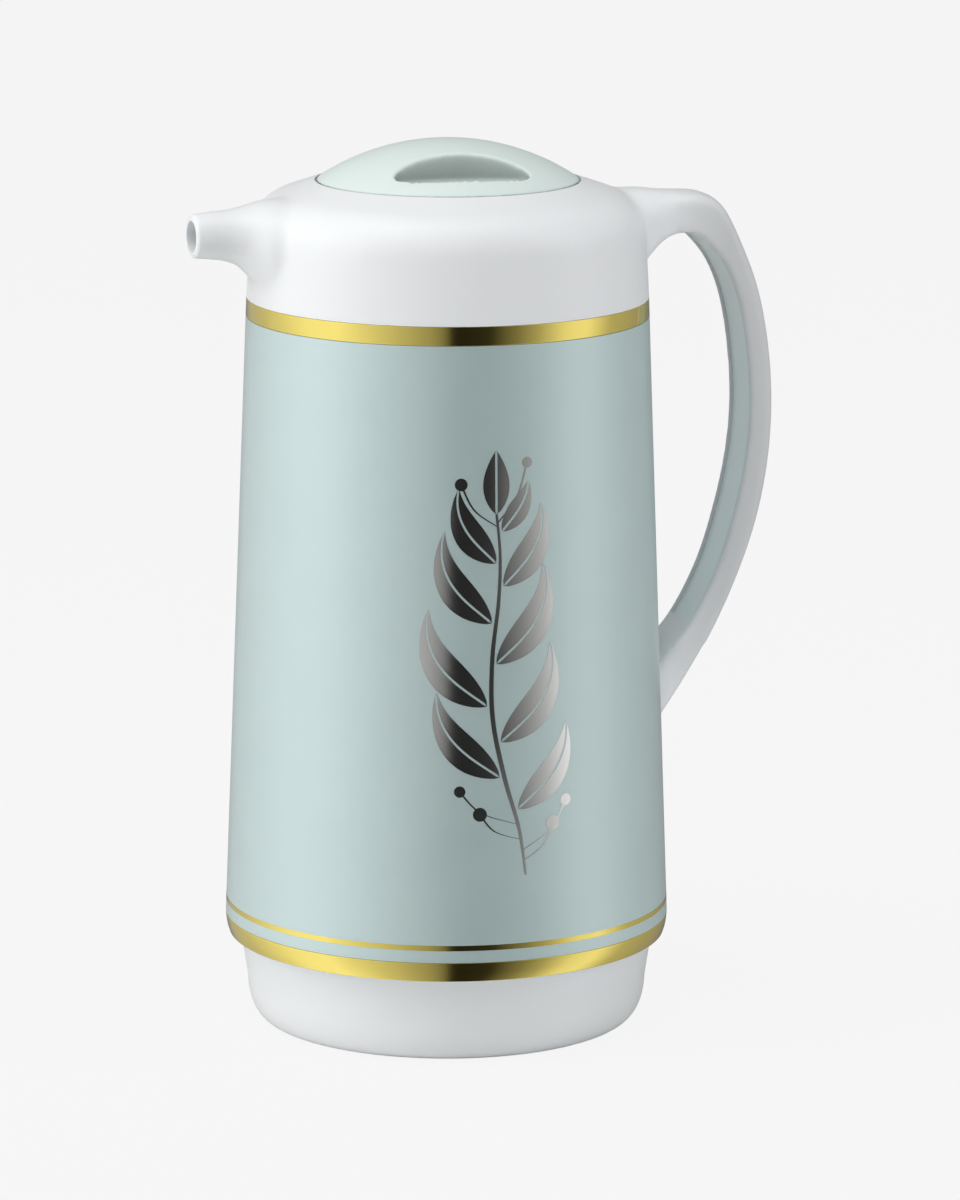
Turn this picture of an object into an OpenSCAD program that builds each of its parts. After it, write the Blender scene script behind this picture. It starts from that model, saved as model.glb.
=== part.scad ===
// Vacuum carafe with a glass liner, a screw stopper, a fixed spout and a strap handle.
// The origin is at the centre of the foot, +Z is up, the spout points along -X
// and the handle along +X. All lengths are in millimetres.

/* [Case] */
// Radius of the painted case at its lower edge
case_bottom_r = 68; // [66:0.5:71]
// Radius of the painted case at its upper edge
case_top_r = 60.9; // [59.5:0.1:62]
// Height of the case's lower edge above the table
case_bottom_z = 27; // [24:0.5:30]
// Height of the case from edge to edge
case_h = 196.7; // [190:0.1:205]
// Thickness of the sheet steel
case_wall = 0.5; // [0.4:0.05:0.8]
// Width of the flanges turned in at both edges of the case
flange_w = 3.9; // [3:0.1:5]
// Height of the rounded lower edge of the case
edge_roll_h = 6; // [4:0.5:8]
// How far the rounded lower edge runs in
edge_roll_in = 1; // [0.5:0.1:2]
// Height of the upper trim ring
upper_trim_h = 5.7; // [4:0.1:8]
// Thickness of both trim rings
trim_t = 0.3; // [0.2:0.05:0.5]

/* [Base] */
// How far the base cup steps in under the case
base_step = 4.5; // [3.5:0.1:6]
// How far the base cup narrows from the case down to its rounded foot
base_taper = 2.2; // [1:0.1:4]
// Width of the rounded foot
foot_round_w = 6.3; // [4:0.1:9]
// Height of the rounded foot
foot_h = 12.5; // [8:0.5:16]
// Width of the standing ring
foot_w = 4; // [3:0.5:6]
// Height of the recess inside the standing ring
foot_recess_h = 3; // [1:0.5:5]
// Wall of the base cup
base_wall = 2.5; // [2:0.1:3.5]
// Height of the pedestal that carries the liner
pedestal_h = 24.5; // [22:0.5:32]
// Height of the threaded spigot above the base cup
spigot_h = 12; // [8:0.5:16]

/* [Shoulder] */
// Height of the shoulder from the case to the edge of the lid opening
shoulder_h = 35.3; // [33:0.1:38]
// Radius of the rounded shoulder edge
shoulder_edge_r = 13.3; // [8:0.1:16]
// Slope of the top face, in degrees
shoulder_slope = 18.4; // [10:0.2:24]
// Wall of the shoulder
shoulder_wall = 2.4; // [2:0.1:3]
// Radius of the bore that the stopper's ring seals against
chamber_r = 34.15; // [33.5:0.05:35]
// Wall of the pouring chamber
chamber_wall = 2.4; // [2:0.1:3]

/* [Spout] */
// Distance of the spout's mouth from the carafe's axis
spout_reach = 81; // [76:0.5:90]
// Height of the spout's axis above the case
spout_rise = 21.6; // [21.2:0.1:22.2]
// Radius of the spout's bore
spout_bore_r = 4.75; // [4:0.05:5]
// Outer radius of the spout at its mouth
spout_mouth_r = 6.6; // [6.2:0.1:7.5]

/* [Handle] */
// Distance of the grip's outer face from the carafe's axis
handle_reach = 103.3; // [98:0.1:110]
// Width of the grip
handle_w = 19; // [17:0.5:22]
// Rise of the grip's crown over its edges
handle_crown = 1.1; // [0.5:0.1:1.6]
// Depth of the hollow behind the grip cover
handle_recess = 4.8; // [4.4:0.1:5.2]
// Thickness of the grip cover
cover_t = 1.8; // [1.4:0.1:2.2]
// How deep the grip cover lies below the lips
cover_inset = 0.9; // [0.5:0.1:1.2]
// Wall beside the grip cover
lip_w = 1.6; // [1.3:0.1:2.2]
// How far the joint between handle and shoulder stands off the case's upper edge
handle_joint_off = 3.1; // [2:0.1:4.5]

/* [Liner] */
// Outer radius of the glass liner
liner_r = 52.5; // [50:0.5:54]
// Thickness of the glass
glass_t = 1.5; // [1.2:0.1:2]
// Vacuum gap between the two glass walls
vacuum_gap = 3.5; // [2.5:0.1:4.5]
// Inner radius of the liner's mouth
mouth_r = 19.5; // [18.5:0.1:20]
// Height of the liner's lower dome
dome_low_h = 32; // [26:0.5:36]
// Height of the liner's upper dome
dome_high_h = 36; // [30:0.5:38]

/* [Stopper] */
// Radius of the lid
lid_r = 39.6; // [39:0.1:40.5]
// Height of the lid's dome
lid_dome_h = 12; // [10:0.5:15]
// Thickness of the lid's wall
lid_wall = 2.2; // [1.8:0.1:2.8]
// Width of the grip bar between the two finger pockets
grip_bar_w = 34.8; // [33:0.1:38]
// Length of a finger pocket
pocket_l = 40.6; // [34:0.2:44]
// Width of a finger pocket
pocket_w = 15.6; // [13:0.2:16]
// Turn of the grip bar from the spout's line, in degrees
grip_turn = -10; // [-30:1:30]
// Radius of the stopper's body
core_r = 25; // [24.5:0.1:25.5]
// Wall of the stopper's body
core_wall = 2.4; // [2:0.1:3]
// Height that the thread lifts in one full turn
thread_lead = 12; // [10:0.5:14]
// Height of a thread ridge over its body
ridge_h = 1.5; // [1.2:0.1:1.8]
// Width of a thread ridge at its foot
ridge_w = 2.6; // [2:0.1:2.8]

/* [Fits] */
// Gap around a moving piece
run_gap = 0.35; // [0.3:0.05:0.5]
// Gap around a fixed piece
seat_gap = 0.05; // [0.03:0.01:0.1]
// Radius of the screws' shanks
screw_r = 2; // [1.5:0.1:2.2]

/* [Hidden] */
$fn = 96;
far = 400;

white = [0.95, 0.96, 0.97];
aqua = [0.72, 0.80, 0.80];
pale_aqua = [0.80, 0.87, 0.84];
gold = [0.85, 0.72, 0.30];
steel = [0.70, 0.71, 0.73];
glass = [0.75, 0.85, 0.88, 0.5];
rubber = [0.25, 0.25, 0.26];
silicone = [0.88, 0.88, 0.86];

// Levels and radii that several pieces share
case_top_z = case_bottom_z + case_h;
base_top_r = case_bottom_r - base_step;
base_mid_r = base_top_r - base_taper;
foot_r = base_mid_r - foot_round_w;
base_floor_z = foot_recess_h + base_wall;
taper_z = case_bottom_z + edge_roll_h;
case_slope = (case_bottom_r - case_top_r) / (case_top_z - taper_z);
function case_r(z) = case_top_r + (case_top_z - z) * case_slope;
flange_top_r = case_top_r - flange_w;
flange_low_r = base_top_r - flange_w + seat_gap;
spigot_r = flange_low_r - seat_gap;

// Shoulder: a leaning side, a rounded edge and a sloping top face
shoulder_z = case_top_z;
shoulder_top_z = shoulder_z + shoulder_h;
opening_r = lid_r + 0.6;
edge_cx = case_top_r - 1 - shoulder_edge_r;
edge_end = 90 - shoulder_slope;
edge_end_x = edge_cx + shoulder_edge_r * cos(edge_end);
edge_end_z = shoulder_top_z - (edge_end_x - opening_r) * tan(shoulder_slope);
edge_cz = edge_end_z - shoulder_edge_r * sin(edge_end);
ledge_z = shoulder_top_z - 1.2;
under_in = [chamber_r + chamber_wall - 1, shoulder_top_z - shoulder_wall - 2];
under_out = [edge_cx + (shoulder_edge_r - shoulder_wall) * cos(edge_end),
    edge_cz + (shoulder_edge_r - shoulder_wall) * sin(edge_end)];
// Height of the sloping top's underside at distance x from the axis
function under_z(x) = under_in[1]
    + (under_out[1] - under_in[1]) * (x - under_in[0]) / (under_out[0] - under_in[0]);

// Collar, seat and pouring chamber
collar_t = 3;
collar_top_z = shoulder_z + 16.3;
collar_r = chamber_r - run_gap;
collar_flange_z = case_top_z - case_wall - collar_t - seat_gap;
collar_flange_r = case_r(case_top_z) - case_wall - 1.4;
collar_bore_r = core_r + ridge_h + run_gap;
seat_z = shoulder_z + 2.3;
seat_floor_t = 2;
groove_w = 16;
groove_r = collar_bore_r + 3.8;
collar_seal_z = shoulder_z + 7;
collar_seal_r = 1.3;
collar_screw_at = flange_top_r - 10;
collar_screw_l = 11;
boss_h = under_z(collar_screw_at) + 0.2 - shoulder_z;

// Liner
liner_top_z = seat_z - seat_floor_t - 2;
pedestal_z = base_floor_z + pedestal_h;
liner_z = pedestal_z + 4;
liner_in_r = liner_r - glass_t - vacuum_gap;
neck_r = mouth_r + glass_t;
rim_r = neck_r + 3;
gasket_r = rim_r + 2;
tip_l = 7;
tip_hole_r = 8;
pedestal_r = 24;

// Stopper
seal_t = 2.6;
core_z = seat_z + seal_t + 0.2;
core_floor_t = 2.2;
lid_z = ledge_z + 0.4;
cap_flange_z = lid_z - 8.4;
cap_flange_t = 5;
cap_flange_r = chamber_r - 0.75;
ring_r = 1.4;
ring_z = cap_flange_z + cap_flange_t / 2;
cap_top_z = lid_z - 0.1;
cup_wall = 2.2;
stem_r = 9;
thread_span = 8.5;
thread_z = shoulder_z + 6.8;
thread_starts = 2;
ridge_lean = 0.53;
dome_r = (lid_r * lid_r + lid_dome_h * lid_dome_h) / (2 * lid_dome_h);
dome_cz = lid_z + 1 + lid_dome_h - dome_r;

// Spout
spout_z = shoulder_z + spout_rise;
spout_tube_x = edge_cx + shoulder_edge_r - 1.9;

// Screws
head_r = screw_r * 1.9;
head_h = screw_r * 1.2;
foot_screw_z = case_bottom_z + 73;
foot_screw_l = 8;
root_screw_z = edge_cz + 3.35;
root_screw_l = 14;
root_pad_l = 5;
plate_t = 1.5;

// Points along an elliptical arc around [cx, cz]
function arc(cx, cz, rx, rz, a0, a1, n) =
    [for (i = [0:n]) let (a = a0 + (a1 - a0) * i / n) [cx + rx * cos(a), cz + rz * sin(a)]];

// Smooth curve through a list of knots of any length, with n steps between two knots
function blend(a, b, c, d, t) = 0.5 * (2 * b + (c - a) * t
    + (2 * a - 5 * b + 4 * c - d) * t * t + (3 * b - a - 3 * c + d) * t * t * t);
function smooth(k, n) = let (m = len(k) - 1) concat(
    [for (i = [0:m - 1]) for (j = [0:n - 1])
        blend(k[max(i - 1, 0)], k[i], k[i + 1], k[min(i + 2, m)], j / n)], [k[m]]);

// Solid skinned over a row of rings that all have the same number of points
module loft(rings) {
    m = len(rings);
    n = len(rings[0]);
    sides = [for (i = [0:m - 2]) for (j = [0:n - 1]) let (a = i * n + j, b = i * n + (j + 1) % n)
        each [[a, b, b + n], [a, b + n, a + n]]];
    caps = [[for (j = [n - 1:-1:0]) j], [for (j = [0:n - 1]) (m - 1) * n + j]];
    polyhedron([for (r = rings) each r], concat(sides, caps), convexity = 8);
}

module ring(r_out, r_in, h) {
    difference() {
        cylinder(r = r_out, h = h);
        translate([0, 0, -1]) cylinder(r = r_in, h = h + 2);
    }
}

// Pan-head screw, its head's seat at the origin and its shank along +Z
module screw(l) {
    cylinder(r = screw_r, h = l);
    translate([0, 0, -head_h]) cylinder(r = head_r, h = head_h);
}

// ---- Case ----

// Outer face of the case or of its trim rings, grown by g
function case_edge(g) = [[case_bottom_r - edge_roll_in + g, case_bottom_z],
    [case_bottom_r + g, taper_z]];

module outer_case() {
    t = trim_t + seat_gap;
    high = case_top_z - upper_trim_h - seat_gap;
    low = taper_z + seat_gap;
    w = case_wall;
    color(aqua) difference() {
        rotate_extrude() polygon([
            [flange_low_r, case_bottom_z], each case_edge(-t), [case_r(low), low],
            [case_r(high), high], [case_r(high) - t, high],
            [case_top_r - t, case_top_z], [flange_top_r, case_top_z],
            [flange_top_r, case_top_z - w], [case_top_r - t - w, case_top_z - w],
            [case_r(high) - t - w, high - 1], [case_r(high - 2) - w, high - 2],
            [case_r(low + 2) - w, low + 2], [case_bottom_r - t - w, low],
            [case_bottom_r - edge_roll_in - t - w, case_bottom_z + w],
            [flange_low_r, case_bottom_z + w]]);
        translate([0, 0, foot_screw_z]) rotate([0, 90, 0]) cylinder(r = screw_r + 0.2, h = far);
    }
}

module upper_trim_ring() {
    z = case_top_z - upper_trim_h;
    color(gold) rotate_extrude() polygon([[case_r(z) - trim_t, z], [case_r(z), z],
        [case_top_r, case_top_z], [case_top_r - trim_t, case_top_z]]);
}

module lower_trim_ring() {
    color(gold) rotate_extrude() polygon([each case_edge(-trim_t),
        each [case_edge(0)[1], case_edge(0)[0]]]);
}

// ---- Base ----

module base_cup() {
    top = case_bottom_z - seat_gap;
    low = base_floor_z;
    w = base_wall;
    color(white) rotate_extrude() polygon([
        [0, foot_recess_h], [foot_r - foot_w - 1, foot_recess_h], [foot_r - foot_w, 0],
        each arc(foot_r, foot_h, base_mid_r - foot_r, foot_h, -90, 0, 8),
        [base_top_r, top], [spigot_r, top], [spigot_r, top + spigot_h],
        [spigot_r - w, top + spigot_h], [spigot_r - w, top - w],
        [base_mid_r - w, foot_h], [foot_r - w, low], [pedestal_r, low],
        [pedestal_r, pedestal_z], [pedestal_r - w, pedestal_z], [pedestal_r - w, low], [0, low]]);
}

module base_retaining_ring() {
    z = case_bottom_z + case_wall + seat_gap;
    color(white) translate([0, 0, z]) difference() {
        union() {
            ring(spigot_r + 4.5, spigot_r + seat_gap, 3);
            ring(spigot_r + 3, spigot_r + seat_gap, spigot_h - 2);
        }
        for (i = [0:5]) rotate(i * 60) translate([spigot_r + 4, -3, 3]) cube([4, 6, spigot_h]);
    }
}

// ---- Liner ----

module liner_outer_glass() {
    g = glass_t;
    low = liner_z + dome_low_h;
    high = liner_top_z - 10 - dome_high_h * sqrt(1 - pow((rim_r + 1) / liner_r, 2));
    meet = acos((rim_r + 1) / liner_r);
    end_z = liner_top_z - 3 - seat_gap;
    color(glass) union() {
        rotate_extrude() polygon([
            each arc(0, low, liner_r, dome_low_h, -90, 0, 9),
            each arc(0, high, liner_r, dome_high_h, 0, meet, 7),
            [rim_r, liner_top_z - 8.5], [rim_r, end_z], [rim_r - g, end_z],
            [rim_r - g, liner_top_z - 9.5],
            each arc(0, high, liner_r - g, dome_high_h - g, meet, 0, 7),
            each arc(0, low, liner_r - g, dome_low_h - g, 0, -90, 9)]);
        translate([0, 0, liner_z - tip_l]) cylinder(r1 = 1.5, r2 = 3.2, h = tip_l + g / 2);
    }
}

module liner_inner_glass() {
    g = glass_t;
    r = liner_in_r;
    low_h = dome_low_h - g - vacuum_gap;
    high_h = dome_high_h - g - vacuum_gap;
    low = liner_z + dome_low_h;
    meet = acos((neck_r + 1) / r);
    high = liner_top_z - 13 - high_h * sin(meet);
    color(glass) rotate_extrude() polygon([
        each arc(0, low, r, low_h, -90, 0, 9),
        each arc(0, high, r, high_h, 0, meet, 7),
        [neck_r, liner_top_z - 11.5], [neck_r, liner_top_z - 3], [rim_r, liner_top_z - 3],
        [rim_r, liner_top_z - 1], [rim_r - 1, liner_top_z], [mouth_r + 1, liner_top_z],
        [mouth_r, liner_top_z - 1], [mouth_r, liner_top_z - 12.5],
        each arc(0, high, r - g, high_h - g, meet, 0, 7),
        each arc(0, low, r - g, low_h - g, 0, -90, 9)]);
}

module liner_spacers() {
    color(silicone) for (i = [0:2]) rotate(60 + i * 120) intersection() {
        translate([0, 0, liner_z + dome_low_h + 14]) rotate([0, 90, 0]) cylinder(r = 5, h = far);
        ring(liner_r - glass_t - seat_gap, liner_in_r + seat_gap, far);
    }
}

module liner_cushion() {
    low = liner_z + dome_low_h;
    out = 30;
    a0 = -acos(tip_hole_r / liner_r);
    a1 = -acos(out / liner_r);
    color(rubber) rotate_extrude() polygon([
        each arc(0, low, liner_r + seat_gap, dome_low_h + seat_gap, a0, a1, 5),
        [out, pedestal_z + 3], [pedestal_r + 3, pedestal_z + 3], [pedestal_r + 3, pedestal_z - 3],
        [pedestal_r + seat_gap, pedestal_z - 3], [pedestal_r + seat_gap, pedestal_z + seat_gap],
        [tip_hole_r, pedestal_z + seat_gap]]);
}

module mouth_gasket() {
    top = liner_top_z + 2 - seat_gap;
    color(silicone) rotate_extrude() polygon([
        [mouth_r + 0.5, liner_top_z + seat_gap], [rim_r + seat_gap, liner_top_z + seat_gap],
        [rim_r + seat_gap, liner_top_z - 5], [gasket_r, liner_top_z - 5],
        [gasket_r, top], [mouth_r + 0.5, top]]);
}

// ---- Threads ----

// Thread ridges, one for each start: radius at foot and tip, height and turn of the first one's end
module ridges(foot, tip, z, turn) {
    steps = 30;
    sweep = 360 * thread_span / thread_lead;
    half = ridge_w / 2;
    side = [[foot, -half], [tip, ridge_lean - half], [tip, half - ridge_lean], [foot, half]];
    for (s = [0:thread_starts - 1]) rotate(turn + s * 360 / thread_starts)
        loft([for (i = [0:steps]) let (a = sweep * i / steps, up = z + thread_span * i / steps)
            [for (p = foot < tip ? side : [side[3], side[2], side[1], side[0]])
                [p[0] * cos(a), p[0] * sin(a), up + p[1]]]]);
}

// ---- Collar ----

module collar_screw_places() {
    for (a = [45:90:315]) rotate(a) translate([collar_screw_at, 0, collar_flange_z]) children();
}

module neck_collar() {
    half_pitch = thread_lead / thread_starts / 2;
    color(white) difference() {
        union() {
            difference() {
                union() {
                    translate([0, 0, collar_flange_z]) cylinder(r = collar_flange_r, h = collar_t);
                    translate([0, 0, collar_flange_z]) cylinder(r = collar_r, h = collar_top_z - collar_flange_z);
                    translate([0, 0, liner_top_z - 4]) cylinder(r = gasket_r + 4, h = 6);
                }
                translate([0, 0, seat_z]) cylinder(r = collar_bore_r, h = far);
            }
            ridges(collar_bore_r + 0.5, core_r + run_gap, thread_z - half_pitch, 0);
        }
        translate([0, 0, -1]) cylinder(r = mouth_r, h = far);
        translate([0, 0, -1]) cylinder(r = gasket_r + seat_gap, h = liner_top_z + 3);
        intersection() {
            translate([0, 0, seat_z]) cylinder(r = groove_r, h = far);
            translate([-far, -groove_w / 2, 0]) cube([far, groove_w, far]);
        }
        translate([0, 0, collar_seal_z]) rotate_extrude()
            translate([chamber_r - 2 * collar_seal_r - 3 * seat_gap, -collar_seal_r - 0.1])
                square([4, 2 * collar_seal_r + 0.2]);
        collar_screw_places() translate([0, 0, -1]) cylinder(r = screw_r + 0.2, h = 20);
    }
}

module collar_screws() {
    color(steel) collar_screw_places() screw(collar_screw_l);
}

module collar_seal() {
    color(rubber) translate([0, 0, collar_seal_z]) rotate_extrude()
        translate([chamber_r - seat_gap - collar_seal_r, 0]) circle(r = collar_seal_r, $fn = 24);
}

// ---- Shoulder and spout ----

// Outline of the shoulder's outer face, shrunk by g
function shoulder_side(g) = concat(
    [[case_top_r - g, shoulder_z], [edge_cx + shoulder_edge_r - g, edge_cz]],
    arc(edge_cx, edge_cz, shoulder_edge_r - g, shoulder_edge_r - g, 6, edge_end, 9));

module shoulder_body() {
    rotate_extrude() polygon(concat([[0, shoulder_z]], shoulder_side(0),
        [[opening_r, shoulder_top_z], [0, shoulder_top_z]]));
}

// Sections of the spout: distance from the axis, top, bottom and half width
spout_knots = [
    [spout_reach, spout_mouth_r, -spout_mouth_r, spout_mouth_r],
    [spout_reach - 4, spout_mouth_r + 0.5, -spout_mouth_r - 0.3, spout_mouth_r + 0.3],
    [case_top_r + 11.1, 7.6, -7.7, 7.7],
    [case_top_r + 6.1, 8.1, -9.3, 9.6],
    [case_top_r + 2.6, 8.8, -12.6, 12.6],
    [case_top_r - 0.9, 9.6, -16, 16.5],
    [case_top_r - 6.9, 10.5, -18, 20],
    [case_top_r - 13.9, 10.8, -18, 22]];

module spout_form() {
    loft([for (k = smooth(spout_knots, 2)) let (mid = (k[1] + k[2]) / 2, half = (k[1] - k[2]) / 2)
        [for (a = [345:-15:0]) [-k[0], k[3] * cos(a), spout_z + mid + half * sin(a)]]]);
}

module shoulder() {
    w = shoulder_wall;
    wall_r = chamber_r + chamber_wall;
    color(white) difference() {
        union() {
            difference() {
                union() {
                    shoulder_body();
                    spout_form();
                    intersection() {
                        handle_form();
                        translate([0, -far, shoulder_z]) cube([handle_joint_x, 2 * far, far]);
                    }
                }
                rotate_extrude() polygon(concat([[0, shoulder_z - 9]],
                    [[case_top_r - w - 1.5, shoulder_z - 9], [case_top_r - w - 1.5, shoulder_z]],
                    [for (p = shoulder_side(w)) if (p[1] > shoulder_z + 1) p],
                    [under_in, [0, under_in[1]]]));
                translate([0, 0, shoulder_z - far]) cylinder(r = far, h = far);
            }
            translate([0, 0, shoulder_z]) cylinder(r = wall_r, h = ledge_z - shoulder_z);
            translate([0, 0, ledge_z - 2.6]) cylinder(r = opening_r + 2, h = 2.6);
            translate([-spout_tube_x, 0, spout_z]) rotate([0, 90, 0])
                cylinder(r = spout_bore_r + 2, h = spout_tube_x - chamber_r + 0.15);
            collar_screw_places() translate([0, 0, shoulder_z - collar_flange_z])
                cylinder(r = screw_r + 2, h = boss_h);
            root_screw_places() cylinder(r = head_r + 0.8, h = root_pad_l);
        }
        translate([0, 0, shoulder_z - 1]) cylinder(r = chamber_r, h = far);
        translate([0, 0, ledge_z]) cylinder(r = opening_r, h = far);
        translate([-spout_reach - 1, 0, spout_z]) rotate([0, 90, 0])
            cylinder(r = spout_bore_r, h = spout_reach - chamber_r + 3);
        collar_screw_places() cylinder(r = screw_r + seat_gap, h = collar_screw_l + 1);
        root_screw_places() cylinder(r = screw_r + 0.2, h = root_screw_l + 6);
    }
}

// ---- Handle ----

// Knots along the handle: outer x, z, inner x, z, half width. They hang on the shoulder at the root,
// on the reach along the grip and on the case at the foot.
hw = handle_w / 2;
handle_joint_x = case_top_r + handle_joint_off;
root_x = case_top_r;
root_z = shoulder_top_z;
foot_x = case_r(foot_screw_z);
foot_z = foot_screw_z;
upper_x = (root_x + handle_reach) / 2;
lower_x = (foot_x + handle_reach) / 2;
function grip_z(part) = foot_z + (root_z - foot_z) * part;
handle_knots = [
    [root_x - 13.9, root_z - 3.6, root_x - 8.9, root_z - 29, hw + 6],
    [root_x - 0.9, root_z - 4.6, root_x - 0.7, root_z - 23.8, hw + 3.6],
    [root_x + 6.1, root_z - 5.5, root_x + 5.6, root_z - 18.4, hw + 1.2],
    [root_x + 13.1, root_z - 6.1, root_x + 11.3, root_z - 17.4, hw + 0.3],
    [root_x + 20.1, root_z - 7.3, root_x + 15.9, root_z - 18.8, hw],
    [upper_x + 4.9, root_z - 12, upper_x - 0.6, root_z - 22.4, hw],
    [handle_reach - 10.3, grip_z(0.853), handle_reach - 16.1, grip_z(0.814), hw],
    [handle_reach - 4.8, grip_z(0.763), handle_reach - 11.7, grip_z(0.747), hw],
    [handle_reach - 1.3, grip_z(0.654), handle_reach - 8.8, grip_z(0.654), hw],
    [handle_reach, grip_z(0.541), handle_reach - 7.5, grip_z(0.541), hw],
    [handle_reach - 1.1, grip_z(0.428), handle_reach - 8.9, grip_z(0.434), hw],
    [handle_reach - 4.7, grip_z(0.314), handle_reach - 12.5, grip_z(0.33), hw],
    [handle_reach - 10.9, grip_z(0.204), handle_reach - 17.8, grip_z(0.226), hw],
    [lower_x + 0.1, grip_z(0.101), lower_x - 6.4, grip_z(0.135), hw],
    [foot_x + 10.5, foot_z + 2, foot_x + 5.5, foot_z + 12.5, hw + 0.2],
    [foot_x + 2.5, foot_z - 9.5, foot_x - 0.5, foot_z + 6, hw + 1.4],
    [foot_x - 5.5, foot_z - 21, foot_x - 8.5, foot_z - 3, hw + 3]];

// Cross-section of the grip, as [across, part of the thickness, offset in millimetres]
function grip_side(w) = let (flare = w - hw) [
    [0, 1, handle_crown], [w / 2.2, 1, handle_crown * 0.75 - flare * 0.1],
    [w - 2.2 - flare, 1, -0.1 - flare * 0.3], [w - 0.7 - flare * 0.3, 1, -1.1 - flare],
    [w, 1, -2.6 - flare * 1.6], [w, 0, 0.6 + flare * 0.6], [w - 0.5 - flare * 0.3, 0, 0]];
function grip_section(w) = let (half = grip_side(w))
    concat([for (i = [6:-1:1]) [-half[i][0], half[i][1], half[i][2]]], half);

// A ring of the handle at knot k, from rows of [across, part, offset], to a thousandth of a millimetre
function handle_ring(k, rows) = let (d = [k[0] - k[2], k[1] - k[3]], l = norm(d), u = d / l)
    [for (p = rows) let (n = p[1] * l + p[2])
        [for (v = [k[2] + u[0] * n, p[0], k[3] + u[1] * n]) round(v * 1000) / 1000]];

handle_path = smooth(handle_knots, 3);
hollow_ends = [13, 40];

// Part of the grip's length between two steps of its path
module along_grip(first, last, rows) {
    loft([for (i = [first:last]) handle_ring(handle_path[i], rows)]);
}

module handle_form() {
    loft([for (k = handle_path) handle_ring(k, grip_section(k[4]))]);
}

module handle_hollow() {
    c = hw - lip_w;
    along_grip(hollow_ends[0], hollow_ends[1],
        [[-c, 0, handle_recess], [c, 0, handle_recess], [c, 0, -2.3], [-c, 0, -2.3]]);
}

module root_screw_places() {
    seat_x = edge_cx + shoulder_edge_r - shoulder_wall - 3;
    for (y = [-5.5, 5.5]) translate([seat_x, y, root_screw_z]) rotate([0, 90, 0]) children();
}

module foot_screw_place() {
    seat_x = case_r(foot_screw_z + head_r) - case_wall - plate_t - 2 * seat_gap;
    translate([seat_x, 0, foot_screw_z]) rotate([0, 90, 0]) children();
}

module handle() {
    low = foot_z - 40;
    color(white) difference() {
        handle_form();
        translate([-far, -far, 0]) cube([far + handle_joint_x + seat_gap, 2 * far, far]);
        rotate_extrude() polygon([[0, low], [case_r(low) + seat_gap, low],
            [case_top_r + seat_gap, case_top_z], [0, case_top_z]]);
        handle_hollow();
        root_screw_places() cylinder(r = screw_r + seat_gap, h = root_screw_l + 2);
        foot_screw_place() cylinder(r = screw_r + seat_gap, h = foot_screw_l + 0.5);
    }
}

module handle_cover() {
    c = hw - lip_w - 0.1;
    a = cover_inset;
    b = cover_inset + cover_t;
    color([0.80, 0.83, 0.83]) along_grip(hollow_ends[0], hollow_ends[1],
        [[-c, 0, b], [c, 0, b], [c, 0, a], [c - 1, 0, a - 0.3], [1 - c, 0, a - 0.3], [-c, 0, a]]);
}

module handle_screws() {
    color(steel) {
        root_screw_places() screw(root_screw_l);
        foot_screw_place() screw(foot_screw_l);
    }
}

module handle_backing_plate() {
    z = foot_screw_z;
    g = case_wall + seat_gap;
    color(steel) difference() {
        intersection() {
            rotate_extrude() polygon([[case_r(z - 15) - g - plate_t, z - 15],
                [case_r(z - 15) - g, z - 15], [case_r(z + 15) - g, z + 15],
                [case_r(z + 15) - g - plate_t, z + 15]]);
            translate([0, -11, 0]) cube([far, 22, far]);
        }
        foot_screw_place() cylinder(r = screw_r + 0.2, h = 20);
    }
}

// ---- Stopper ----

module pockets(g, floor_z) {
    at = (grip_bar_w + pocket_w) / 2;
    a = pocket_l / 2 + g;
    b = pocket_w / 2 + g;
    rotate(grip_turn) for (s = [-1, 1]) translate([0, s * at, floor_z - g])
        linear_extrude(height = far) polygon([for (i = [0:7.5:352.5]) [a * cos(i), b * sin(i)]]);
}

module dome(r, g) {
    intersection() {
        translate([0, 0, dome_cz]) sphere(r = dome_r - g);
        translate([0, 0, lid_z]) cylinder(r = r, h = far);
    }
}

module stopper_lid() {
    pocket_z = lid_z + 2;
    rib_r = cap_flange_r - cup_wall - 0.2;
    color(pale_aqua) union() {
        difference() {
            dome(lid_r, 0);
            pockets(0, pocket_z);
            difference() {
                translate([0, 0, -1]) dome(lid_r - lid_wall - 1, lid_wall - 1);
                pockets(lid_wall - 0.8, pocket_z);
            }
        }
        intersection() {
            translate([0, 0, cap_top_z - 3]) ring(rib_r, rib_r - 2, far);
            translate([0, 0, dome_cz]) sphere(r = dome_r - 0.5);
            union() {
                translate([0, 0, cap_top_z - 3]) cylinder(r = far, h = lid_z - cap_top_z + 4);
                difference() {
                    dome(lid_r, 0.5);
                    pockets(0, pocket_z);
                }
            }
        }
    }
}

module stopper_core() {
    in_r = core_r - core_wall;
    color(white) difference() {
        union() {
            translate([0, 0, core_z]) cylinder(r = core_r, h = cap_flange_z - core_z + 1);
            translate([0, 0, cap_flange_z]) cylinder(r = cap_flange_r, h = cap_top_z - cap_flange_z);
            translate([0, 0, seat_z - 0.4]) cylinder(r = stem_r, h = 5);
            ridges(core_r - 0.5, core_r + ridge_h, thread_z, 0);
        }
        translate([0, 0, core_z + core_floor_t]) cylinder(r = in_r, h = far);
        translate([0, 0, cap_flange_z + cap_flange_t]) cylinder(r = cap_flange_r - cup_wall, h = far);
        translate([0, 0, ring_z]) rotate_extrude()
            translate([cap_flange_r - 2.5, -ring_r - 0.1]) square([4, 2 * ring_r + 0.2]);
        translate([0, 0, seat_z - 1]) cylinder(r = 3 + seat_gap, h = 5);
    }
}

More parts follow.
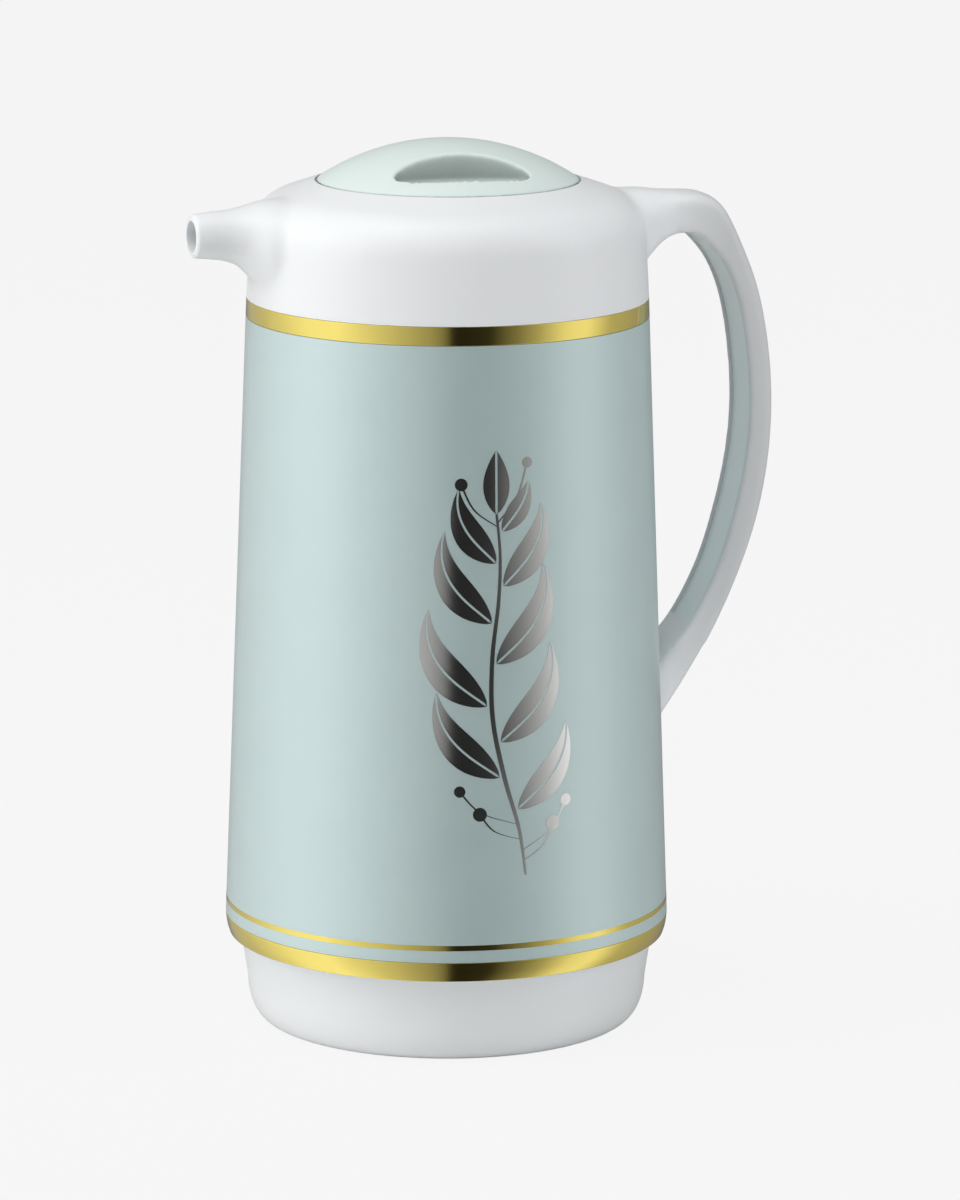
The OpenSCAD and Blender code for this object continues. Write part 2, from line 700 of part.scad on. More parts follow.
module stopper_insulation() {
    z = core_z + core_floor_t + seat_gap;
    color([0.93, 0.92, 0.86]) translate([0, 0, z])
        cylinder(r = core_r - core_wall - 0.2, h = cap_flange_z + cap_flange_t - z);
}

module stopper_o_ring() {
    color(rubber) translate([0, 0, ring_z]) rotate_extrude()
        translate([chamber_r - 0.3 - ring_r, 0]) circle(r = ring_r, $fn = 24);
}

module seal_retainer() {
    color(white) union() {
        translate([0, 0, seat_z - 2.3]) cylinder(r = mouth_r - 2, h = 1.8);
        translate([0, 0, seat_z - 2.3]) cylinder(r = 3, h = 5);
    }
}

module seat_seal() {
    color(silicone) translate([0, 0, seat_z + seat_gap]) ring(core_r, stem_r + 0.3, seal_t);
}

outer_case();
upper_trim_ring();
lower_trim_ring();
shoulder();
handle();
handle_cover();
handle_screws();
handle_backing_plate();
neck_collar();
collar_screws();
collar_seal();
mouth_gasket();
liner_outer_glass();
liner_inner_glass();
liner_spacers();
liner_cushion();
base_cup();
base_retaining_ring();
stopper_lid();
stopper_core();
stopper_insulation();
stopper_o_ring();
seal_retainer();
seat_seal();
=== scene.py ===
import math

import bpy
from mathutils import Matrix, Vector


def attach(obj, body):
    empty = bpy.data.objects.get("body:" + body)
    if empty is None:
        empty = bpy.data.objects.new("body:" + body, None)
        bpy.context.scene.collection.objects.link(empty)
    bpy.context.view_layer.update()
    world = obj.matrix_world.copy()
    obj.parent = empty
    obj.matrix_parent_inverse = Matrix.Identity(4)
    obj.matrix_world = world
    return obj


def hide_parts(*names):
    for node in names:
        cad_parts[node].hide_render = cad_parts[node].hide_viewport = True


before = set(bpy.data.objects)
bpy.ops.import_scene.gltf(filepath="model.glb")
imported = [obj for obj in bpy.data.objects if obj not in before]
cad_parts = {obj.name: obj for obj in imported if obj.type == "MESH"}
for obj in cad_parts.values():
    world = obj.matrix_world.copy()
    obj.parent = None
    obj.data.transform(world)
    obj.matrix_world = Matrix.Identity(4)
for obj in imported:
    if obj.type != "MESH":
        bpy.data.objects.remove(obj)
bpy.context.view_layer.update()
print("frame loaded:", len(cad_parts), "nodes")

mm = 0.001  # everything below is written in millimetres


# ways of working

def deselectAll():
    if bpy.context.mode != "OBJECT":
        bpy.ops.object.mode_set(mode="OBJECT")
    bpy.ops.object.select_all(action="DESELECT")


def pick(piece):
    deselectAll()
    piece.select_set(True)
    bpy.context.view_layer.objects.active = piece


def selectWhere(piece, kind, test):
    # leaves the piece in edit mode with the vertices, edges or faces that pass the test
    bpy.ops.object.mode_set(mode="OBJECT")
    mesh = piece.data
    for items in (mesh.vertices, mesh.edges, mesh.polygons):
        items.foreach_set("select", [False] * len(items))
    items = {"VERT": mesh.vertices, "EDGE": mesh.edges, "FACE": mesh.polygons}[kind]
    for item in items:
        item.select = test(item)
    bpy.ops.object.mode_set(mode="EDIT")
    bpy.ops.mesh.select_mode(type=kind)


def settle(piece, name):
    # its place goes into its mesh
    piece.name = name
    piece.data.name = name
    pick(piece)
    bpy.ops.object.transform_apply(location=True, rotation=True, scale=True)


def cleanNormals(piece):
    pick(piece)
    bpy.ops.object.mode_set(mode="EDIT")
    bpy.ops.mesh.select_all(action="SELECT")
    bpy.ops.mesh.remove_doubles(threshold=0.002 * mm)
    bpy.ops.mesh.normals_make_consistent(inside=False)
    bpy.ops.object.mode_set(mode="OBJECT")


def smoothShade(piece, angle=35):
    pick(piece)
    bpy.ops.object.shade_smooth_by_angle(angle=math.radians(angle))


def applyModifier(piece, kind, **settings):
    pick(piece)
    bpy.ops.object.modifier_add(type=kind)
    modifier = piece.modifiers[-1]
    for key, value in settings.items():
        setattr(modifier, key, value)
    bpy.ops.object.modifier_apply(modifier=modifier.name)


def cutAway(piece, cutter):
    applyModifier(piece, "BOOLEAN", operation="DIFFERENCE", solver="EXACT", object=cutter)
    bpy.data.objects.remove(cutter)


def joinAll(name, parts):
    deselectAll()
    for part in parts:
        part.select_set(True)
    bpy.context.view_layer.objects.active = parts[0]
    bpy.ops.object.join()
    parts[0].name = name
    parts[0].data.name = name
    return parts[0]


def arc(cx, cz, rx, rz, start, end, steps):
    # points along an elliptical arc, as (radius, height)
    turns = [math.radians(start + (end - start) * i / steps) for i in range(steps + 1)]
    return [(cx + rx * math.cos(a), cz + rz * math.sin(a)) for a in turns]


def turned(name, profile, steps=192, closed=True):
    # a turned piece: a ring drawn out along its profile of (radius, height)
    deselectAll()
    first = profile[0]
    bpy.ops.mesh.primitive_circle_add(vertices=steps, radius=first[0] * mm,
                                      location=(0, 0, first[1] * mm))
    piece = bpy.context.object
    settle(piece, name)
    outline = profile + [first] if closed else profile
    bpy.ops.object.mode_set(mode="EDIT")
    bpy.ops.mesh.select_all(action="SELECT")
    for a, b in zip(outline, outline[1:]):
        bpy.ops.mesh.extrude_region_move(TRANSFORM_OT_translate={"value": (0, 0, (b[1] - a[1]) * mm)})
        bpy.ops.transform.resize(value=(b[0] / a[0], b[0] / a[0], 1), center_override=(0, 0, 0))
    bpy.ops.object.mode_set(mode="OBJECT")
    cleanNormals(piece)
    return piece


def turnedSolid(name, profile, steps=192):
    # a turned piece without a hole: both end rings are closed
    piece = turned(name, profile, steps, closed=False)
    near = 0.001 * mm
    for radius, height in (profile[0], profile[-1]):
        selectWhere(piece, "VERT", lambda v: abs(v.co.z - height * mm) < near
                    and abs(v.co.xy.length - radius * mm) < near)
        bpy.ops.mesh.edge_face_add()
        bpy.ops.mesh.poke()
    bpy.ops.object.mode_set(mode="OBJECT")
    cleanNormals(piece)
    return piece


def blendKnots(knots, steps):
    # smooth curve through the knots, with so many steps between two of them
    def between(a, b, c, d, t):
        return 0.5 * (2 * b + (c - a) * t + (2 * a - 5 * b + 4 * c - d) * t * t
                      + (3 * b - a - 3 * c + d) * t ** 3)
    last = len(knots) - 1
    path = []
    for i in range(last):
        near = [knots[max(i - 1, 0)], knots[i], knots[i + 1], knots[min(i + 2, last)]]
        for j in range(steps):
            path.append([between(a, b, c, d, j / steps) for a, b, c, d in zip(*near)])
    return path + [list(knots[last])]


def skinned(name, rings):
    # a grid bent onto a row of rings of points, closed round and at both ends
    around, along = len(rings[0]), len(rings)
    deselectAll()
    bpy.ops.mesh.primitive_grid_add(x_subdivisions=around, y_subdivisions=along - 1, size=2)
    piece = bpy.context.object
    for vertex in piece.data.vertices:
        i = round((vertex.co.x + 1) / 2 * around)
        j = round((vertex.co.y + 1) / 2 * (along - 1))
        vertex.co = Vector(rings[j][i % around]) * mm
    settle(piece, name)
    cleanNormals(piece)
    bpy.ops.object.mode_set(mode="EDIT")
    bpy.ops.mesh.select_all(action="DESELECT")
    bpy.ops.mesh.select_mode(type="EDGE")
    bpy.ops.mesh.select_non_manifold()
    bpy.ops.mesh.edge_face_add()
    bpy.ops.object.mode_set(mode="OBJECT")
    pick(piece)
    bpy.ops.object.mode_set(mode="EDIT")
    bpy.ops.mesh.select_all(action="DESELECT")
    bpy.ops.mesh.select_non_manifold()
    bpy.ops.mesh.fill_holes(sides=0)
    bpy.ops.mesh.select_all(action="SELECT")
    bpy.ops.mesh.normals_make_consistent(inside=False)
    bpy.ops.object.mode_set(mode="OBJECT")
    return piece


# materials

def newMaterial(name):
    material = bpy.data.materials.new(name)
    material.use_nodes = True
    return material, material.node_tree.nodes, material.node_tree.links


def addNode(nodes, kind, **values):
    node = nodes.new(kind)
    for key, value in values.items():
        if key in node.inputs:
            node.inputs[key].default_value = value
        else:
            setattr(node, key, value)
    return node


def fillRamp(ramp, stops):
    band = ramp.color_ramp
    while len(band.elements) < len(stops):
        band.elements.new(0.5)
    for element, (place, colour) in zip(band.elements, stops):
        element.position = place
        element.color = (*colour, 1)


def timesShade(nodes, links, colour, shade):
    scale = addNode(nodes, "ShaderNodeVectorMath", operation="SCALE")
    links.new(colour, scale.inputs[0])
    links.new(shade, scale.inputs["Scale"])
    return scale.outputs[0]


def paintedShadeAlongX(nodes, links, place, colour, shadeAlongX):
    # painted shade: full tone on one side, greyer beyond where the handle faces away from the light: from x,
    # to x, tone there
    split = addNode(nodes, "ShaderNodeSeparateXYZ")
    tone = addNode(nodes, "ShaderNodeMapRange")
    for key, value in zip(("From Min", "From Max", "To Max"), (shadeAlongX[0] * mm, shadeAlongX[1] * mm, shadeAlongX[2])):
        tone.inputs[key].default_value = value
    tone.inputs["To Min"].default_value = 1
    links.new(place.outputs["Object"], split.inputs[0])
    links.new(split.outputs["X"], tone.inputs["Value"])
    return timesShade(nodes, links, colour, tone.outputs["Result"])


def paintedShadeInHollows(nodes, links, colour, hollowShade):
    # painted shade in hollow places, from ambient occlusion: reach of the shade, and the tone where it is
    # deepest
    cover = addNode(nodes, "ShaderNodeAmbientOcclusion", Distance=hollowShade[0] * mm, samples=8)
    tone = addNode(nodes, "ShaderNodeMapRange")
    for key, value in zip(("From Min", "From Max", "To Min", "To Max"), (0.35, 0.9, hollowShade[1], 1)):
        tone.inputs[key].default_value = value
    links.new(cover.outputs["AO"], tone.inputs["Value"])
    return timesShade(nodes, links, colour, tone.outputs["Result"])


def surfaceMaterial(name, look):
    # plastic, paint, metal or rubber: a base finish with faint mottling, fine bump and uneven gloss; where
    # asked, painted shade along x or in hollow places
    material, nodes, links = newMaterial(name)
    shader = nodes["Principled BSDF"]
    shader.inputs["Metallic"].default_value = look.get("metal", 0)
    shader.inputs["Coat Weight"].default_value = look.get("coat", 0)
    shader.inputs["Coat Roughness"].default_value = look.get("coatRough", 0.1)
    shader.inputs["Coat IOR"].default_value = look.get("coatIOR", 1.5)
    shader.inputs["Subsurface Weight"].default_value = look.get("soft", 0)
    shader.inputs["Subsurface Scale"].default_value = 2 * mm
    place = addNode(nodes, "ShaderNodeTexCoord")
    mottle = addNode(nodes, "ShaderNodeTexNoise", Scale=look.get("mottleScale", 60), Detail=3)
    grain = addNode(nodes, "ShaderNodeTexNoise", Scale=look.get("grainScale", 1500), Detail=2)
    tint = addNode(nodes, "ShaderNodeValToRGB")
    gloss = addNode(nodes, "ShaderNodeMapRange")
    bump = addNode(nodes, "ShaderNodeBump", Strength=look.get("bump", 0.05), Distance=0.1 * mm)
    spread = look.get("spread", 0.015)
    fillRamp(tint, [(0.3, [c * (1 - spread) for c in look["colour"]]),
                    (0.7, [min(c * (1 + spread), 1) for c in look["colour"]])])
    gloss.inputs["To Min"].default_value = look["rough"] * 0.92
    gloss.inputs["To Max"].default_value = look["rough"] * 1.08
    for noise in (mottle, grain):
        links.new(place.outputs["Object"], noise.inputs["Vector"])
    links.new(mottle.outputs["Fac"], tint.inputs["Fac"])
    colour = tint.outputs["Color"]
    # painted shade where the finish asks for it: darker along x, and darker in hollow places
    if "shadeAlongX" in look:
        colour = paintedShadeAlongX(nodes, links, place, colour, look["shadeAlongX"])
    if "hollowShade" in look:
        colour = paintedShadeInHollows(nodes, links, colour, look["hollowShade"])
    links.new(colour, shader.inputs["Base Color"])
    links.new(mottle.outputs["Fac"], gloss.inputs["Value"])
    links.new(gloss.outputs["Result"], shader.inputs["Roughness"])
    links.new(grain.outputs["Fac"], bump.inputs["Height"])
    links.new(bump.outputs["Normal"], shader.inputs["Normal"])
    return material


def dress(piece, material):
    piece.data.materials.clear()
    piece.data.materials.append(material)


finishes = {
    "casePaint": {"colour": (0.52, 0.665, 0.66), "rough": 0.42, "metal": 0.26, "coat": 1, "coatIOR": 1.9,
                  "coatRough": 0.3, "grainScale": 2600, "bump": 0.04},
    # painted shade: the handle end of the white moulding is darker along x
    "whiteMoulding": {"colour": (0.855, 0.875, 0.89), "rough": 0.33, "bump": 0.02, "grainScale": 500,
                      "spread": 0.0012, "shadeAlongX": (70, 88, 0.76)},
    "greyMoulding": {"colour": (0.77, 0.84, 0.85), "rough": 0.45, "bump": 0.10},
    # painted shade: the lid is darker in its pockets
    "lidMoulding": {"colour": (0.73, 0.83, 0.80), "rough": 0.32, "bump": 0.03, "spread": 0.003,
                    "hollowShade": (22, 0.30)},
    "innerMoulding": {"colour": (0.74, 0.75, 0.73), "rough": 0.5, "bump": 0.10},
    "goldFoil": {"colour": (0.84, 0.69, 0.18), "rough": 0.13, "metal": 1, "bump": 0.03, "spread": 0.03},
    "silverFoil": {"colour": (0.86, 0.86, 0.84), "rough": 0.14, "metal": 1, "bump": 0.03},
    "zincSteel": {"colour": (0.62, 0.63, 0.65), "rough": 0.35, "metal": 1, "bump": 0.12,
                  "spread": 0.06, "mottleScale": 300},
    "blackRubber": {"colour": (0.035, 0.035, 0.036), "rough": 0.65, "bump": 0.25},
    "silicone": {"colour": (0.70, 0.70, 0.68), "rough": 0.42, "soft": 0.3, "bump": 0.08},
    "silveredGlass": {"colour": (0.72, 0.75, 0.78), "rough": 0.06, "metal": 1, "coat": 1,
                      "coatRough": 0.02, "bump": 0.02},
    "fibrePad": {"colour": (0.64, 0.60, 0.50), "rough": 0.9, "bump": 0.6, "grainScale": 900},
    "rigidFoam": {"colour": (0.78, 0.75, 0.62), "rough": 0.85, "bump": 0.5, "grainScale": 1200},
}
materials = {name: surfaceMaterial(name, look) for name, look in finishes.items()}
print("materials made:", len(materials))


# painted case, its two trim rings and the gold line

case = {"bottomR": 68, "topR": 60.9, "lowZ": 27, "topZ": 223.7, "rollH": 6, "rollIn": 1,
        "trimT": 0.35, "wall": 0.5, "flange": 3.9, "lowerHoleR": 59.7, "upperTrimH": 5.7, "lipR": 0.25,
        "lineLow": 36.7, "lineHigh": 38.3, "lineT": 0.04}


def caseR(z):
    rollTop = case["lowZ"] + case["rollH"]
    return case["topR"] + (case["topZ"] - z) * (case["bottomR"] - case["topR"]) / (case["topZ"] - rollTop)


def makeCase():
    t, wall = case["trimT"], case["wall"]
    high = case["topZ"] - case["upperTrimH"] - 0.05
    low = case["lowZ"] + case["rollH"] + 0.05
    inner = case["topR"] - case["flange"]
    steps = 24
    side = [low + (high - low) * i / steps for i in range(steps + 1)]
    profile = [(case["lowerHoleR"], case["lowZ"]), (case["bottomR"] - case["rollIn"] - t, case["lowZ"]),
               (case["bottomR"] - t, low - 0.1)]
    profile += [(caseR(z), z) for z in side]
    profile += [(caseR(high) - t, high + 0.01), (case["topR"] - t, case["topZ"]), (inner, case["topZ"]),
                (inner, case["topZ"] - wall), (case["topR"] - t - wall, case["topZ"] - wall),
                (caseR(high) - t - wall, high - 1), (caseR(low) - t - wall, low),
                (case["bottomR"] - case["rollIn"] - t - wall, case["lowZ"] + wall),
                (case["lowerHoleR"], case["lowZ"] + wall)]
    piece = turned("paintedCase", profile)
    smoothShade(piece)
    dress(piece, materials["casePaint"])
    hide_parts("outer_case")
    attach(piece, "root")
    return piece


def makeTrimRings():
    t, lip = 0.3, case["lipR"]
    low, high = case["topZ"] - case["upperTrimH"], case["topZ"]
    upper = [(caseR(low) - t, low), (caseR(low) - lip, low)]
    upper += arc(caseR(low) - lip, low + lip, lip, lip, -60, 0, 3)
    upper += arc(case["topR"] - lip, high - lip, lip, lip, 0, 80, 4)
    upper += [(case["topR"] - t, high)]
    base, roll = case["lowZ"], case["rollH"]
    foot = case["bottomR"] - case["rollIn"]
    lower = [(foot - t, base), (foot - lip, base)]
    lower += arc(foot - lip, base + lip, lip, lip, -70, -10, 3)
    lower += [(case["bottomR"] - case["rollIn"] * (1 - s) ** 2, base + roll * s)
              for s in (0.3, 0.5, 0.7, 0.85)]
    lower += [(case["bottomR"], base + roll - lip), (case["bottomR"] - lip, base + roll),
              (case["bottomR"] - t, base + roll)]
    rings = (("upperTrim", "upper_trim_ring", upper), ("lowerTrim", "lower_trim_ring", lower))
    for name, node, profile in rings:
        piece = turned(name, profile)
        smoothShade(piece, 50)
        dress(piece, materials["goldFoil"])
        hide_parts(node)
        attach(piece, "root")


def makeGoldLine():
    low, high, t = case["lineLow"], case["lineHigh"], case["lineT"]
    piece = turned("goldLine", [(caseR(low) + 0.01, low), (caseR(low) + t, low), (caseR(high) + t, high),
                                (caseR(high) + 0.01, high)])
    smoothShade(piece)
    dress(piece, materials["goldFoil"])
    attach(piece, "root")


makeCase()
makeTrimRings()
makeGoldLine()
print("case done")


# base cup

base = {"topR": 63.5, "midR": 61.3, "footR": 55, "footH": 12.5, "footW": 4, "recessH": 3, "wall": 2.5,
        "topZ": 26.95, "spigotR": 59.65, "spigotH": 12, "poleR": 3}


def makeBase():
    b = base
    wall, recess, foot, top = b["wall"], b["recessH"], b["footH"], b["topZ"]
    ringIn = b["footR"] - b["footW"]  # inner radius of the standing ring
    spigotIn, spigotTop = b["spigotR"] - wall, top + b["spigotH"]
    profile = [(b["poleR"], recess), (ringIn - 1.4, recess), (ringIn - 0.6, recess - 0.5), (ringIn, 0.3),
               (ringIn + 0.4, 0)]
    profile += arc(b["footR"], foot, b["midR"] - b["footR"], foot, -90, 0, 18)
    profile += [(b["midR"] + (b["topR"] - b["midR"]) * s, foot + (top - foot) * s)
                for s in (0.25, 0.5, 0.75, 0.97)]
    profile += [(b["topR"] - 0.3, top), (b["spigotR"], top), (b["spigotR"], spigotTop),
                (spigotIn, spigotTop), (spigotIn, top - wall), (b["midR"] - wall, foot),
                (b["footR"] - wall, recess + wall), (b["poleR"], recess + wall)]
    piece = turnedSolid("baseBowl", profile)
    smoothShade(piece, 32)
    dress(piece, materials["whiteMoulding"])
    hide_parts("base_cup")
    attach(piece, "root")


makeBase()
print("base done")


# white moulding: shoulder, spout and handle run into one another

shoulder = {"seamZ": 223.75, "bottomR": 60.9, "edgeR": 13.3, "slope": 18.4, "topZ": 259, "openingR": 40.2,
            "ledgeZ": 257.8, "chamberR": 34.15, "voxel": 0.85,
            # where the forms run into one another and are softened more: ranges of x and of height
            "roots": [(-74, -42, 226, 280), (42, 72, 230, 280), (60, 110, 84, 112)]}
spout = {"boreR": 4.75, "boreL": 56, "boreMid": -58, "axisZ": 245.3,
         # distance from the axis, top, bottom and half width
         "knots": [(81, 6.6, -6.6, 6.6), (77, 7.1, -6.9, 6.9), (72, 7.6, -7.7, 7.7), (67, 8.1, -9.3, 9.6),
                   (63.5, 8.8, -12.6, 12.6), (60, 9.6, -16, 16.5), (54, 10.3, -18, 19), (47, 7.5, -18, 17)]}
handle = {"halfW": 9.5, "crown": 1.1, "sideR": 3.4, "recess": 4.8, "lip": 1.6, "coverInset": 0.9,
          "coverT": 1.8, "coverGap": 0.12, "knotSteps": 5, "hollowFrom": 21, "hollowTo": 67,
          # outer x, z, inner x, z and half width
          "knots": [(47, 252, 52, 230, 12.5), (60, 253.0, 60.2, 233.0, 13.1), (67, 252.1, 66.5, 238.0, 10.7),
                    (74, 251.6, 72.2, 240.3, 9.8), (81, 250.9, 76.8, 240.0, 9.5), (87, 247, 81.5, 236.6, 9.5),
                    (93, 235.6, 87.2, 229.4, 9.5), (98.5, 221.3, 91.6, 218.8, 9.5),
                    (102, 204, 94.5, 204, 9.5), (103.3, 186, 95.8, 186, 9.5), (102.2, 168, 94.4, 169, 9.5),
                    (98.6, 150, 90.8, 152.5, 9.5), (92.4, 132.5, 85.5, 136, 9.5), (84.5, 116, 78, 121.5, 9.5),
                    (76, 102, 71, 112.5, 9.7), (68, 90.5, 65, 106, 10.9), (60, 79, 57, 97, 12.5)]}


def shoulderProfile(drop):
    s = shoulder
    cx = s["bottomR"] - 1 - s["edgeR"]
    end = 90 - s["slope"]
    endX = cx + s["edgeR"] * math.cos(math.radians(end))
    endZ = s["topZ"] - (endX - s["openingR"]) * math.tan(math.radians(s["slope"]))
    cz = endZ - s["edgeR"] * math.sin(math.radians(end))
    lean = (s["bottomR"] - cx - s["edgeR"]) / (cz - s["seamZ"])
    low = s["seamZ"] - drop
    return [(s["bottomR"] + drop * lean, low)] + arc(cx, cz, s["edgeR"], s["edgeR"], 0, end, 24)


def gripHalf(w):
    # from the crown's middle round to the inner edge: across, part of the thickness, offset
    flare = w - handle["halfW"]
    crown = handle["crown"]
    rows = [(0, 1, crown), (w * 0.25, 1, crown * 0.93), (w * 0.5, 1, crown * 0.66 - flare * 0.1)]
    sideR = handle["sideR"] + flare * 0.8
    sideZ = 0.45 - sideR - flare * 0.4
    rows += [(across, 1, off) for across, off in arc(w - sideR, sideZ, sideR, sideR, 75, 0, 5)]
    rows += [(w, 0, 1.6 + flare * 0.5), (w, 0, 0.5 + flare * 0.4), (w - 0.45 - flare * 0.3, 0, 0),
             (w * 0.6, 0, 0)]
    return rows


def gripRing(knot, rows):
    ox, oz, ix, iz = knot[:4]
    thick = math.hypot(ox - ix, oz - iz)
    ux, uz = (ox - ix) / thick, (oz - iz) / thick
    return [(ix + ux * (part * thick + off), across, iz + uz * (part * thick + off))
            for across, part, off in rows]


def wholeGrip(w):
    half = gripHalf(w)
    return [(-a, p, o) for a, p, o in half[:0:-1]] + half


def alongHollow(rows):
    path = blendKnots(handle["knots"], handle["knotSteps"])
    return [gripRing(knot, rows) for knot in path[handle["hollowFrom"]:handle["hollowTo"]]]


def makeMoulding():
    profile = shoulderProfile(6)
    body = turnedSolid("shoulderForm", profile + [(shoulder["openingR"] - 4, shoulder["topZ"] + 1.4)], 160)
    rings = []
    for x, top, bottom, w in blendKnots(spout["knots"], 4):
        mid, half = (top + bottom) / 2, (top - bottom) / 2
        turns = [math.radians(a) for a in range(0, 360, 10)]
        rings.append([(-x, w * math.cos(a), spout["axisZ"] + mid + half * math.sin(a)) for a in turns])
    tube = skinned("spoutForm", rings)
    path = blendKnots(handle["knots"], handle["knotSteps"])
    grip = skinned("handleForm", [gripRing(knot, wholeGrip(knot[4])) for knot in path])
    piece = joinAll("whiteMoulding", [body, tube, grip])
    applyModifier(piece, "REMESH", mode="VOXEL", voxel_size=shoulder["voxel"] * mm, adaptivity=0)
    print("moulding remeshed:", len(piece.data.vertices))
    pick(piece)

    def nearRoots(v):
        x, z = v.co.x / mm, v.co.z / mm
        return any(left < x < right and low < z < high for left, right, low, high in shoulder["roots"])
    for test, times in ((lambda v: True, 4), (nearRoots, 24)):
        selectWhere(piece, "VERT", test)
        bpy.ops.mesh.vertices_smooth(factor=0.5, repeat=times)
    bpy.ops.object.mode_set(mode="OBJECT")
    cutMoulding(piece)
    smoothShade(piece, 40)
    dress(piece, materials["whiteMoulding"])
    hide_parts("shoulder", "handle")
    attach(piece, "root")
    return piece


def cutMoulding(piece):
    s = shoulder
    seam = s["seamZ"]
    # everything below the seam within the case goes
    cutAway(piece, turnedSolid("seamCutter", [(62.2, seam - 30), (61.9, seam)], 128))
    well = [(s["chamberR"], seam - 5), (s["chamberR"], s["ledgeZ"]), (s["openingR"] - 0.2, s["ledgeZ"]),
            (s["openingR"], s["ledgeZ"] + 0.2), (s["openingR"], s["topZ"] + 6)]
    cutAway(piece, turnedSolid("wellCutter", well, 160))
    body = [(caseR(60) + 0.03, 60), (caseR(seam - 12) + 0.03, seam - 12)]
    cutAway(piece, turnedSolid("caseCutter", body, 192))
    deselectAll()
    bpy.ops.mesh.primitive_cylinder_add(vertices=48, radius=spout["boreR"] * mm, depth=spout["boreL"] * mm,
                                        location=(spout["boreMid"] * mm, 0, spout["axisZ"] * mm),
                                        rotation=(0, math.radians(90), 0))
    bore = bpy.context.object
    settle(bore, "boreCutter")
    cutAway(piece, bore)
    c = handle["halfW"] - handle["lip"]
    rows = [(-c, 0, handle["recess"]), (c, 0, handle["recess"]), (c, 0, -2), (-c, 0, -2)]
    cutAway(piece, skinned("hollowCutter", alongHollow(rows)))


def makeGripCover():
    c = handle["halfW"] - handle["lip"] - handle["coverGap"]
    low, high = handle["coverInset"], handle["coverInset"] + handle["coverT"]
    rows = [(-c, 0, low + 0.3), (-c, 0, high), (c, 0, high), (c, 0, low + 0.3), (c - 0.5, 0, low),
            (c * 0.5, 0, low - 0.25), (0, 0, low - 0.35), (-c * 0.5, 0, low - 0.25), (0.5 - c, 0, low)]
    piece = skinned("gripCover", alongHollow(rows))
    smoothShade(piece, 40)
    dress(piece, materials["greyMoulding"])
    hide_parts("handle_cover")
    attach(piece, "root")


makeMoulding()
print("moulding cut")
makeGripCover()
print("handle done")


# lid

lid = {"r": 39.6, "rimZ": 258.2, "edge": 1, "domeH": 12, "barW": 34.8, "pocketL": 40.6, "pocketW": 15.6,
       "floorZ": 260.3, "pocketH": 20, "pocketEdge": 1.6, "turn": -10, "voxel": 0.5,
       # the pockets' long edges, which are softened more: above this height, so far to either side
       "softZ": 262, "softReach": 4}


def makeLid():
    r, h = lid["r"], lid["domeH"]
    ball = (r * r + h * h) / (2 * h)
    low = lid["rimZ"] + lid["edge"]
    centre = low + h - ball
    rim = math.degrees(math.asin((low - centre) / ball))
    dome = arc(0.001, centre, ball, ball, rim, 89.6, 40)
    piece = turnedSolid("lidDome", [(r - 0.3, lid["rimZ"]), (r, lid["rimZ"] + 0.3)] + dome, 160)
    at = (lid["barW"] + lid["pocketW"]) / 2
    for side in (-1, 1):
        deselectAll()
        bpy.ops.mesh.primitive_cylinder_add(vertices=96, radius=1 * mm, depth=lid["pocketH"] * mm,
                                            location=(0, 0, (lid["floorZ"] + lid["pocketH"] / 2) * mm))
        pocket = bpy.context.object
        pocket.scale = (lid["pocketL"] / 2, lid["pocketW"] / 2, 1)
        pocket.location.y = side * at * mm
        settle(pocket, "pocketCutter")
        selectWhere(pocket, "EDGE", lambda e: all(
            pocket.data.vertices[i].co.z < (lid["floorZ"] + 1) * mm for i in e.vertices))
        bpy.ops.mesh.bevel(offset=lid["pocketEdge"] * mm, segments=5, affect="EDGES")
        bpy.ops.object.mode_set(mode="OBJECT")
        pocket.rotation_euler.z = math.radians(lid["turn"])
        settle(pocket, "pocketCutter")
        cutAway(piece, pocket)
    applyModifier(piece, "REMESH", mode="VOXEL", voxel_size=lid["voxel"] * mm, adaptivity=0)
    turn = math.radians(-lid["turn"])

    def onBarSide(v):
        y = abs(v.co.x * math.sin(turn) + v.co.y * math.cos(turn)) / mm
        edge, reach = lid["barW"] / 2, lid["softReach"]
        return v.co.z > lid["softZ"] * mm and edge - reach < y < edge + reach
    for test, times in ((lambda v: True, 3), (onBarSide, 7)):
        selectWhere(piece, "VERT", test)
        bpy.ops.mesh.vertices_smooth(factor=0.5, repeat=times)
    bpy.ops.object.mode_set(mode="OBJECT")
    pick(piece)
    bpy.ops.object.shade_smooth()
    dress(piece, materials["lidMoulding"])
    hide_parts("stopper_lid")
    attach(piece, "stopper")


makeLid()
print("lid done")


# silver sprig printed on the case

sprig = {"turn": -96.8, "proud": 0.03, "foil": 0.05, "gap": 0.7,
         # stem: sideways place and height of its knots, and its width there
         "stem": [(9, 59, 0.7), (7, 73, 1.1), (2.5, 89, 1.4), (-1, 107, 1.4), (-1, 125, 1.3), (1, 142, 1.1),
                  (1.5, 156, 0.9), (0.5, 168, 0.7)],
         # leaf: place along the stem, side, length, width, angle from upright, bend
         "leaves": [(0.20, 1, 30, 9.5, 50, 5), (0.29, -1, 32, 10, 54, 5), (0.38, 1, 33, 10.5, 50, 6),
                    (0.47, -1, 34, 11, 52, 6), (0.57, 1, 33, 10.5, 48, 6), (0.66, -1, 31, 10, 48, 6),
                    (0.76, 1, 27, 9.5, 44, 5), (0.84, -1, 25, 9, 44, 5), (0.93, 1, 17, 6.5, 40, 3),
                    (1.0, 1, 19, 8, 0, 0)],
         # berry on a stalk: place along the stem, sideways place, height, radius
         "berries": [(0.06, 18, 74, 2.3), (0.09, 22.5, 80.5, 1.8), (0.12, -5, 78, 2.1), (0.16, -11, 85, 1.7),
                     (0.95, -10, 177, 1.9), (0.97, 10, 183, 1.6)]}


